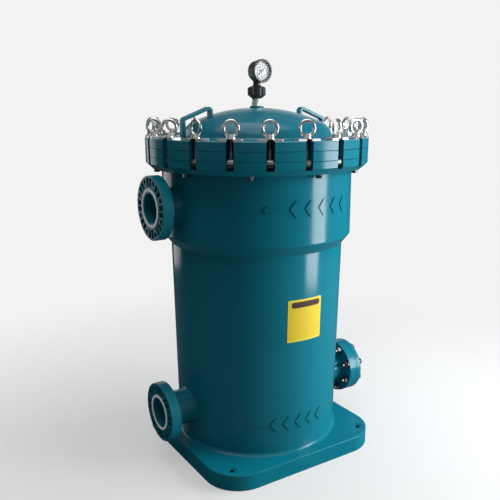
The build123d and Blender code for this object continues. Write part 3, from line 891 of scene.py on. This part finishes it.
@dataclass
class ShellSkin:
    """Marks and the rating plate that lie on the tapered shell.

    Attributes:
        lower_radius: shell radius at the foot of the lower course.
        lower_draft: how much wider the lower course is at its top.
        lower_low: height of the lower course's foot.
        lower_high: height of its top.
        upper_radius: shell radius at the foot of the upper course.
        upper_draft: how much wider the upper course is at its top.
        upper_low: height of the upper course's foot.
        upper_high: height of its top.
    """

    lower_radius: float = 0.298
    lower_draft: float = 0.008
    lower_low: float = 0.070
    lower_high: float = 0.772
    upper_radius: float = 0.333
    upper_draft: float = -0.003
    upper_low: float = 0.806
    upper_high: float = 1.072

    def radius(self, height: float) -> float:
        """Returns the shell's outer radius at a height."""
        if height > self.upper_low:
            share = (height - self.upper_low) / (self.upper_high - self.upper_low)
            return self.upper_radius + self.upper_draft * share
        share = (height - self.lower_low) / (self.lower_high - self.lower_low)
        return self.lower_radius + self.lower_draft * share

    def patch(
        self, name: str, shapes: Sequence[Outline], material: bpy.types.Material,
        proud: float, sunk: float = 0.0012, column: float = 0.012, start: float = 0.0, slope: float = 0.0,
    ) -> bpy.types.Object:
        """Wraps flat outlines on the shell as one raised piece.

        Args:
            name: the piece's name.
            shapes: outlines of sideways distance and height, zero sideways at -Y.
            material: its finish.
            proud: how far the piece stands off the shell.
            sunk: how far its back lies below the shell's skin.
            column: widest face before the outline is divided.
            start: how far its back is lifted, for a piece on another piece.
            slope: width of the sloping edge round its face, or zero.

        Returns:
            The piece.
        """
        work = bmesh.new()
        for shape in shapes:
            work.faces.new([work.verts.new((across, start - sunk, up)) for across, up in shape])
        flats = work.faces[:]
        if slope > 0:
            bmesh.ops.inset_individual(work, faces=flats, thickness=slope, depth=0.0, use_even_offset=True)
        rise = work.verts.layers.float.new("rise")
        edge_rise = 0.2
        for vert in work.verts:
            vert[rise] = edge_rise
        for vert in {vert for face in flats for vert in face.verts}:
            vert[rise] = 1.0
        reach = max(abs(across) for shape in shapes for across, _ in shape)
        cuts = int(reach / column) + 1
        for step in range(-cuts, cuts + 1):
            bmesh.ops.bisect_plane(
                work, geom=work.verts[:] + work.edges[:] + work.faces[:], dist=1e-7,
                plane_co=(step * column, 0, 0), plane_no=(1, 0, 0),
            )
        top = bmesh.ops.extrude_face_region(work, geom=work.faces[:])
        risen = [item for item in top["geom"] if isinstance(item, bmesh.types.BMVert)]
        for vert in risen:
            vert.co.y = start + proud * vert[rise]
        for vert in work.verts:
            across, depth, up = vert.co
            radius = self.radius(up)
            angle = across / radius
            vert.co = ((radius + depth) * math.sin(angle), -(radius + depth) * math.cos(angle), up)
        piece = finish_mesh(name, work, material)
        smooth_by_angle(piece, 50.0 if slope > 0 else 30.0)
        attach(piece, "vessel")
        return piece


def rounded_rectangle(centre: tuple[float, float], width: float, height: float, corner: float) -> Outline:
    """Outlines a rectangle with rounded corners.

    Args:
        centre: its middle.
        width: full width.
        height: full height.
        corner: corner radius.

    Returns:
        Points in order.
    """
    outline = []
    for quarter, (sx, sy) in enumerate(((1, 1), (-1, 1), (-1, -1), (1, -1))):
        for step in range(6):
            angle = math.radians(90 * quarter + 18 * step)
            outline.append((
                centre[0] + sx * (width / 2 - corner) + corner * math.cos(angle),
                centre[1] + sy * (height / 2 - corner) + corner * math.sin(angle),
            ))
    return outline


def chevron(left: float, middle: float, width: float, height: float, stroke: float) -> Outline:
    """Outlines an arrow head of one folded bar that points to the left."""
    half = height / 2
    return [
        (left, middle), (left + width, middle - half), (left + width + stroke, middle - half),
        (left + stroke, middle), (left + width + stroke, middle + half), (left + width, middle + half),
    ]


def flow_arrow(left: float, middle: float, length: float, bar: float, head: float) -> Outline:
    """Outlines an arrow that points to the left."""
    return [
        (left, middle), (left + head, middle - head), (left + head, middle - bar / 2),
        (left + length, middle - bar / 2), (left + length, middle + bar / 2),
        (left + head, middle + bar / 2), (left + head, middle + head),
    ]


@dataclass
class RatingPlate:
    """Blank yellow plate with a dark header bar on the lower course.

    Attributes:
        middle: sideways place of its middle, zero at -Y.
        height: height of its middle.
        width: width round the shell.
        tall: its height.
        thick: thickness.
    """

    middle: float = -0.0024
    height: float = 0.548
    width: float = 0.136
    tall: float = 0.146
    thick: float = 0.0009

    def build(self, skin: ShellSkin, palette: Palette) -> int:
        """Builds the plate and its header, and returns the number of pieces."""
        border, printed = 0.004, 0.0003
        outline = rounded_rectangle((self.middle, self.height), self.width, self.tall, border)
        plate = skin.patch("rating_plate", [outline], palette.plate_border, self.thick)
        inner = rounded_rectangle((self.middle, self.height), self.width - 2 * border, self.tall - 2 * border, 0.003)
        panel = skin.patch("rating_plate_panel", [inner], palette.plate_yellow, printed, printed, start=self.thick)
        bar = rounded_rectangle((self.middle + 0.002, self.height + 0.0555), self.width * 0.84, 0.020, 0.0095)
        header = skin.patch("rating_plate_header", [bar], palette.plate_header, printed, 0.0001,
                            start=self.thick + printed)
        return 3


@dataclass
class FlowMarks:
    """Raised arrows and plain chevrons that show which way each nozzle flows.

    Attributes:
        proud: how far the marks stand off the shell.
        upper_height: height of the inlet's row.
        lower_height: height of the outlet's row.
        stroke: width of a chevron's bar.
        slope: width of the sloping edge of a mark.
    """

    proud: float = 0.0028
    upper_height: float = 0.925
    lower_height: float = 0.176
    stroke: float = 0.008
    slope: float = 0.0024

    def build(self, skin: ShellSkin, palette: Palette) -> int:
        """Builds both rows and returns the number of pieces."""
        rows = (
            ("inlet_flow_mark", self.upper_height, -0.172, 0.052, -0.087, 5, 0.052),
            ("outlet_flow_mark", self.lower_height, -0.202, 0.066, -0.124, 5, 0.046),
        )
        for name, height, arrow_left, arrow_long, first, count, gap in rows:
            shapes = [flow_arrow(arrow_left, height, arrow_long, 0.006, 0.013)]
            places = [first + gap * step for step in range(count)]
            shapes += [chevron(left, height, 0.020, 0.052, self.stroke) for left in places]
            piece = skin.patch(name, shapes, palette.marks, self.proud, slope=self.slope)
        return len(rows)


@dataclass
class NozzleBeads:
    """Weld beads where the nozzle necks enter the shell.

    Attributes:
        neck_radius: radius of a neck.
        bead: radius of the bead.
        places: name, side and height of each neck.
    """

    neck_radius: float = 0.062
    bead: float = 0.0042
    places: tuple[tuple[str, int, float], ...] = (
        ("inlet_bead", -1, 0.914), ("outlet_bead", -1, 0.188), ("drain_bead", 1, 0.182),
    )

    def build(self, skin: ShellSkin, palette: Palette) -> int:
        """Lays the three beads and returns the number of pieces."""
        around, across = 96, 10
        for name, side, height in self.places:
            work = bmesh.new()
            rings = []
            for step in range(around):
                angle = FULL_TURN * step / around
                spread = self.neck_radius * math.cos(angle)
                up = height + self.neck_radius * math.sin(angle)
                wall = skin.radius(up)
                spot = Vector((side * math.sqrt(wall**2 - spread**2), spread, up))
                outward = Vector((0, math.cos(angle), math.sin(angle)))
                along = Vector((side, 0, 0))
                ripple = 1 + 0.07 * math.sin(angle * 34)
                ring = []
                for turn in range(across):
                    lean = FULL_TURN * turn / across
                    out = outward * (self.bead * ripple * math.cos(lean))
                    ring.append(work.verts.new(spot + out + along * (self.bead * math.sin(lean))))
                rings.append(ring)
            stitch(work, rings)
            piece = finish_mesh(name, work, palette.by_slot[Slot.BODY])
            smooth_by_angle(piece, 60.0)
            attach(piece, "vessel")
        return len(self.places)


@dataclass
class GaugeFace:
    """The gauge's printed scale, numbers, lens and lens ring.

    Attributes:
        height: height of the gauge's middle.
        face: the dial's printed face along Y.
        lens_back: the lens's back along Y.
        inner_radius: radius inside the bezel.
        tick_radius: outer end of the ticks.
        number_radius: radius of the number's middles.
        sweep: angle of the scale.
        divisions: numbered divisions.
        parts: small divisions of each.
    """

    height: float = 1.344
    face: float = -0.0285
    lens_back: float = -0.0340
    inner_radius: float = 0.0315
    tick_radius: float = 0.0293
    number_radius: float = 0.0205
    sweep: float = math.radians(270)
    divisions: int = 5
    parts: int = 5

    def place(self, radius: float, angle: float, out: float) -> Point:
        """Maps radius, clockwise angle from the top and distance towards -Y to a point."""
        return (radius * math.sin(angle), -out, self.height + radius * math.cos(angle))

    def build(self, palette: Palette) -> int:
        """Builds all pieces of the face and returns their number."""
        rig = self._tick_rig()
        pieces = []
        major_step = self.sweep / self.divisions
        minor_step = major_step / self.parts
        for name, count, step, length, width in (
            ("gauge_major_ticks", self.divisions + 1, major_step, 0.0050, 0.00075),
            ("gauge_minor_ticks", self.divisions * self.parts + 1, minor_step, 0.0028, 0.00035),
        ):
            pieces.append(rig.run(
                name, palette.ink, Count=count, Step=step, Start=math.pi / 2 - self.sweep / 2,
                Outer=self.tick_radius, Length=length, Width=width, Thickness=0.0002,
                Place=(0.0, self.face, self.height),
            ))
        pieces.append(self._scale_arc(palette))
        pieces.append(self._numbers(palette))
        for piece in pieces:
            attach(piece, "cover")
        lens = lathe("gauge_lens", self._lens_outline(), self.place, palette.lens)
        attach(lens, "cover")
        lip = lathe("gauge_lens_ring", self._lip_outline(), self.place, palette.by_slot[Slot.BLACK])
        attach(lip, "cover")
        return len(pieces) + 2

    def _tick_rig(self) -> GeometryRig:
        """Makes the tree that sets thin ticks round the dial."""
        rig = GeometryRig("dial_ticks", [
            ("Count", INTEGER, 6), ("Step", FLOAT, 0.9), ("Start", FLOAT, 0.0),
            ("Outer", FLOAT, 0.029), ("Length", FLOAT, 0.005),
            ("Width", FLOAT, 0.0006), ("Thickness", FLOAT, 0.0002),
            ("Place", VECTOR, (0.0, 0.0, 0.0)),
        ])
        bench = rig.bench
        size = bench.add("ShaderNodeCombineXYZ", X=rig.value("Length"), Y=rig.value("Width"),
                         Z=rig.value("Thickness"))
        bar = bench.add("GeometryNodeMeshCube", Size=size.outputs[0])
        inward = bench.math("MULTIPLY", rig.value("Length"), -0.5)
        offset = bench.add("ShaderNodeCombineXYZ", X=bench.math("ADD", rig.value("Outer"), inward)).outputs[0]
        tick = rig.moved(bar.outputs[0], offset)
        ring = rig.polar(tick, rig.value("Count"), rig.value("Start"), rig.value("Step"))
        quarter = (math.pi / 2, 0.0, 0.0)
        rig.close(rig.moved(ring, rig.value("Place"), quarter))
        return rig

    def _scale_arc(self, palette: Palette) -> bpy.types.Object:
        """Prints the thin arc that joins the ticks."""
        work = bmesh.new()
        steps = 72
        inner, outer = self.tick_radius, self.tick_radius + 0.0005
        sunk, proud = -self.face - 0.00008, -self.face + 0.0001
        section = ((inner, sunk), (outer, sunk), (outer, proud), (inner, proud))
        rings = []
        for step in range(steps + 1):
            angle = self.sweep * (step / steps - 0.5)
            rings.append([work.verts.new(self.place(radius, angle, out)) for radius, out in section])
        stitch(work, rings, closed=False)
        work.faces.new(rings[0])
        work.faces.new(rings[-1])
        return finish_mesh("gauge_scale_arc", work, palette.ink)

    def _numbers(self, palette: Palette) -> bpy.types.Object:
        """Prints the plain numbers 0 to 5 round the scale."""
        meshes = []
        for index in range(self.divisions + 1):
            angle = self.sweep * (index / self.divisions - 0.5)
            text = bpy.data.curves.new(f"number_{index}", "FONT")
            text.body = str(index)
            text.size = 0.0062
            text.align_x = "CENTER"
            text.align_y = "CENTER"
            text.extrude = 0.00006
            carrier = bpy.data.objects.new(f"number_{index}", text)
            bpy.context.scene.collection.objects.link(carrier)
            bpy.context.view_layer.update()
            graph = bpy.context.evaluated_depsgraph_get()
            mesh = bpy.data.meshes.new_from_object(carrier.evaluated_get(graph))
            bpy.data.objects.remove(carrier)
            centre = self.place(self.number_radius, angle, -self.face + 0.00002)
            for vert in mesh.vertices:
                across, up, out = vert.co
                vert.co = (centre[0] + across, centre[1] - out, centre[2] + up)
            meshes.append(mesh)
        work = bmesh.new()
        for mesh in meshes:
            work.from_mesh(mesh)
        return finish_mesh("gauge_numbers", work, palette.ink)

    def _lens_outline(self) -> Outline:
        """Outlines the lens: flat back, slightly crowned front."""
        edge = self.inner_radius - 0.0002
        back = -self.lens_back
        outline = [(0.0, back), (edge, back), (edge, back + 0.0016)]
        for step in range(1, 9):
            share = 1 - step / 8
            outline.append((edge * share, back + 0.0016 + 0.0012 * (1 - share**2)))
        return outline

    def _lip_outline(self) -> Outline:
        """Outlines the ring that holds the lens."""
        outer, front = self.inner_radius - 0.0001, 0.0371
        back = -self.lens_back + 0.0012
        inner = outer - 0.0016
        return [
            (inner, back), (outer, back), (outer, front - 0.0004), (outer - 0.0004, front),
            (inner + 0.0005, front - 0.0004), (inner, front - 0.0012),
        ]


# ---------------------------------------------------------------------------
# Studio
# ---------------------------------------------------------------------------
@dataclass(frozen=True)
class Softbox:
    """One large soft lamp.

    Attributes:
        name: lamp name.
        place: where it stands.
        aim: the point it faces.
        width: width.
        height: height.
        power: watts.
        colour: light colour.
        mirrored: whether it shows in reflections.
    """

    name: str
    place: Point
    aim: Point
    width: float
    height: float
    power: float
    colour: Rgb = (1.0, 1.0, 1.0)
    mirrored: bool = True

    def build(self) -> None:
        """Puts the lamp in the scene."""
        lamp = bpy.data.lights.new(self.name, "AREA")
        lamp.shape = "RECTANGLE"
        lamp.size = self.width
        lamp.size_y = self.height
        lamp.energy = self.power
        lamp.color = self.colour
        holder = bpy.data.objects.new(self.name, lamp)
        bpy.context.scene.collection.objects.link(holder)
        holder.visible_glossy = self.mirrored
        holder.visible_camera = False
        holder.location = self.place
        holder.rotation_euler = (Vector(self.aim) - Vector(self.place)).to_track_quat("-Z", "Y").to_euler()


@dataclass
class Studio:
    """Pale floor, pale surroundings, soft lamps and the camera.

    Attributes:
        pale: brightness of the surroundings to the camera.
        ambient: brightness of the surroundings as a light.
        eye: camera place.
        heading: compass angle the camera faces, in degrees from +Y towards +X.
        pitch: how far the camera looks down, in degrees.
        lens: focal length in millimetres on a 36 mm sensor.
        shift: lens shift.
    """

    pale: float = 0.89
    ambient: float = 0.20
    eye: Point = (-1.20878, -1.84984, 1.22193)
    heading: float = 32.782
    pitch: float = 16.304
    lens: float = 44.53
    shift: tuple[float, float] = (-0.0048, 0.080)
    boxes: tuple[Softbox, ...] = (
        Softbox("right_softbox", (1.435, -1.666, 1.01), (0.0, 0.0, 0.75), 0.76, 1.98, 50.0, (0.97, 0.99, 1.0)),
        Softbox("right_back_fill", (2.50, -1.00, 1.50), (0.0, 0.0, 0.50), 1.8, 2.0, 88.0, (0.93, 0.98, 1.0), False),
        Softbox("top_softbox", (-0.3, -0.1, 3.3), (0.0, 0.0, 1.0), 2.6, 2.6, 40.0),
        Softbox("left_rear_softbox", (-0.80, 2.50, 1.0), (-0.2, 0.0, 0.6), 1.3, 2.0, 10.0),
    )

    def build(self) -> None:
        """Builds the whole studio."""
        scene = bpy.context.scene
        scene.view_settings.view_transform = "Standard"
        self._surroundings(scene)
        self._floor()
        for box in self.boxes:
            box.build()
        self._camera(scene)

    def _surroundings(self, scene: bpy.types.Scene) -> None:
        """Makes the world: pale to the eye and in reflections behind the object, dim as a light."""
        world = bpy.data.worlds.new("pale_studio")
        scene.world = world
        world.use_nodes = True
        world.node_tree.nodes.clear()
        bench = Bench(world.node_tree)
        path = bench.add("ShaderNodeLightPath")
        dimmed = bench.math("MULTIPLY", path.outputs["Is Glossy Ray"], -0.5 * self.ambient)
        strength = bench.math("ADD", dimmed, self.ambient)
        dim = bench.add("ShaderNodeBackground", Color=(0.93, 0.97, 1.0, 1.0), Strength=strength)
        pale = bench.add("ShaderNodeBackground", Color=(self.pale,) * 3 + (1.0,), Strength=1.0)
        direction = bench.add("ShaderNodeTexCoord").outputs["Generated"]
        behind = (math.sin(math.radians(self.heading)), math.cos(math.radians(self.heading)), 0.0)
        facing = bench.add("ShaderNodeVectorMath", {"operation": "DOT_PRODUCT"})
        bench.plug(facing.inputs[0], direction)
        bench.plug(facing.inputs[1], behind)
        back = bench.ramp(facing.outputs["Value"], 0.88, 1.0, 0.0, 0.85)
        front = bench.ramp(facing.outputs["Value"], 0.10, -0.75, 0.0, 0.34)
        glossy = bench.math("MULTIPLY", path.outputs["Is Glossy Ray"], bench.math("MAXIMUM", back, front))
        seen = bench.math("MAXIMUM", path.outputs["Is Camera Ray"], path.outputs["Is Transmission Ray"])
        mix = bench.add("ShaderNodeMixShader")
        for index, item in enumerate((bench.math("MAXIMUM", seen, glossy), dim.outputs[0], pale.outputs[0])):
            bench.plug(mix.inputs[index], item)
        output = bench.add("ShaderNodeOutputWorld")
        bench.plug(output.inputs["Surface"], mix.outputs[0])

    def _floor(self) -> None:
        """Lays the pale floor, which fades into the surroundings away from the object."""
        radius, steps = 30.0, 96
        work = bmesh.new()
        angles = [FULL_TURN * step / steps for step in range(steps)]
        work.faces.new([work.verts.new((radius * math.cos(angle), radius * math.sin(angle), 0.0)) for angle in angles])
        material, bench, surface = start_material("studio_floor")
        where = bench.add("ShaderNodeTexCoord").outputs["Object"]
        far = bench.add("ShaderNodeVectorMath", {"operation": "LENGTH"})
        bench.plug(far.inputs[0], where)
        surface.inputs["Base Color"].default_value = (0.66, 0.66, 0.66, 1.0)
        surface.inputs["Roughness"].default_value = 0.9
        surface.inputs["Specular IOR Level"].default_value = 0.1
        glow = bench.add("ShaderNodeEmission", Color=(self.pale,) * 3 + (1.0,), Strength=1.0)
        path = bench.add("ShaderNodeLightPath")
        dull_tone, glossy_tone = (0.30, 0.31, 0.32), (0.07, 0.08, 0.085)
        bounced = bench.blend(path.outputs["Is Glossy Ray"], rgba(dull_tone), rgba(glossy_tone))
        dull = bench.add("ShaderNodeBsdfDiffuse", Color=bounced)
        seen = bench.math("MAXIMUM", path.outputs["Is Camera Ray"], path.outputs["Is Transmission Ray"])
        fade = bench.ramp(far.outputs["Value"], 0.55, 2.2, 0.45, 1.0)
        lit = bench.add("ShaderNodeMixShader")
        for index, item in enumerate((fade, surface.outputs[0], glow.outputs[0])):
            bench.plug(lit.inputs[index], item)
        mix = bench.add("ShaderNodeMixShader")
        for index, item in enumerate((seen, dull.outputs[0], lit.outputs[0])):
            bench.plug(mix.inputs[index], item)
        bench.plug(material.node_tree.nodes["Material Output"].inputs["Surface"], mix.outputs[0])
        floor = finish_mesh("studio_floor", work, material)

    def _camera(self, scene: bpy.types.Scene) -> None:
        """Sets up the camera."""
        camera = bpy.data.cameras.new("camera")
        camera.lens = self.lens
        camera.sensor_width = 36.0
        camera.shift_x, camera.shift_y = self.shift
        holder = bpy.data.objects.new("camera", camera)
        scene.collection.objects.link(holder)
        heading, pitch = math.radians(self.heading), math.radians(self.pitch)
        level = math.cos(pitch)
        look = Vector((math.sin(heading) * level, math.cos(heading) * level, -math.sin(pitch)))
        holder.location = self.eye
        holder.rotation_euler = look.to_track_quat("-Z", "Y").to_euler()
        scene.camera = holder


def main() -> None:
    """Builds the studio and every sub-assembly in order, and reports each."""
    logging.basicConfig(level=logging.INFO, format="%(message)s")
    Studio().build()
    LOG.info("studio ready")
    lid_low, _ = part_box("clamp_plates")
    # Heights where the seam shade and the rim highlight are painted.
    levels = {"lid_top": lid_low.z, "joint": lid_low.z - 0.030, "ring": lid_low.z - 0.060}
    palette = Palette(EffectLibrary(), levels)
    LOG.info("packed nodes dressed: %d", palette.dress_packed_nodes())
    skin = ShellSkin()
    LOG.info("cover joint pieces: %d", CoverJoint().build(palette))
    LOG.info("nozzle beads: %d", NozzleBeads().build(skin, palette))
    LOG.info("flow marks: %d", FlowMarks().build(skin, palette))
    LOG.info("rating plate pieces: %d", RatingPlate().build(skin, palette))
    dial_low, dial_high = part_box("gauge_dial")
    gauge = GaugeFace(height=(dial_low.z + dial_high.z) / 2)
    LOG.info("gauge face pieces: %d", gauge.build(palette))


if __name__ == "__main__":
    main()
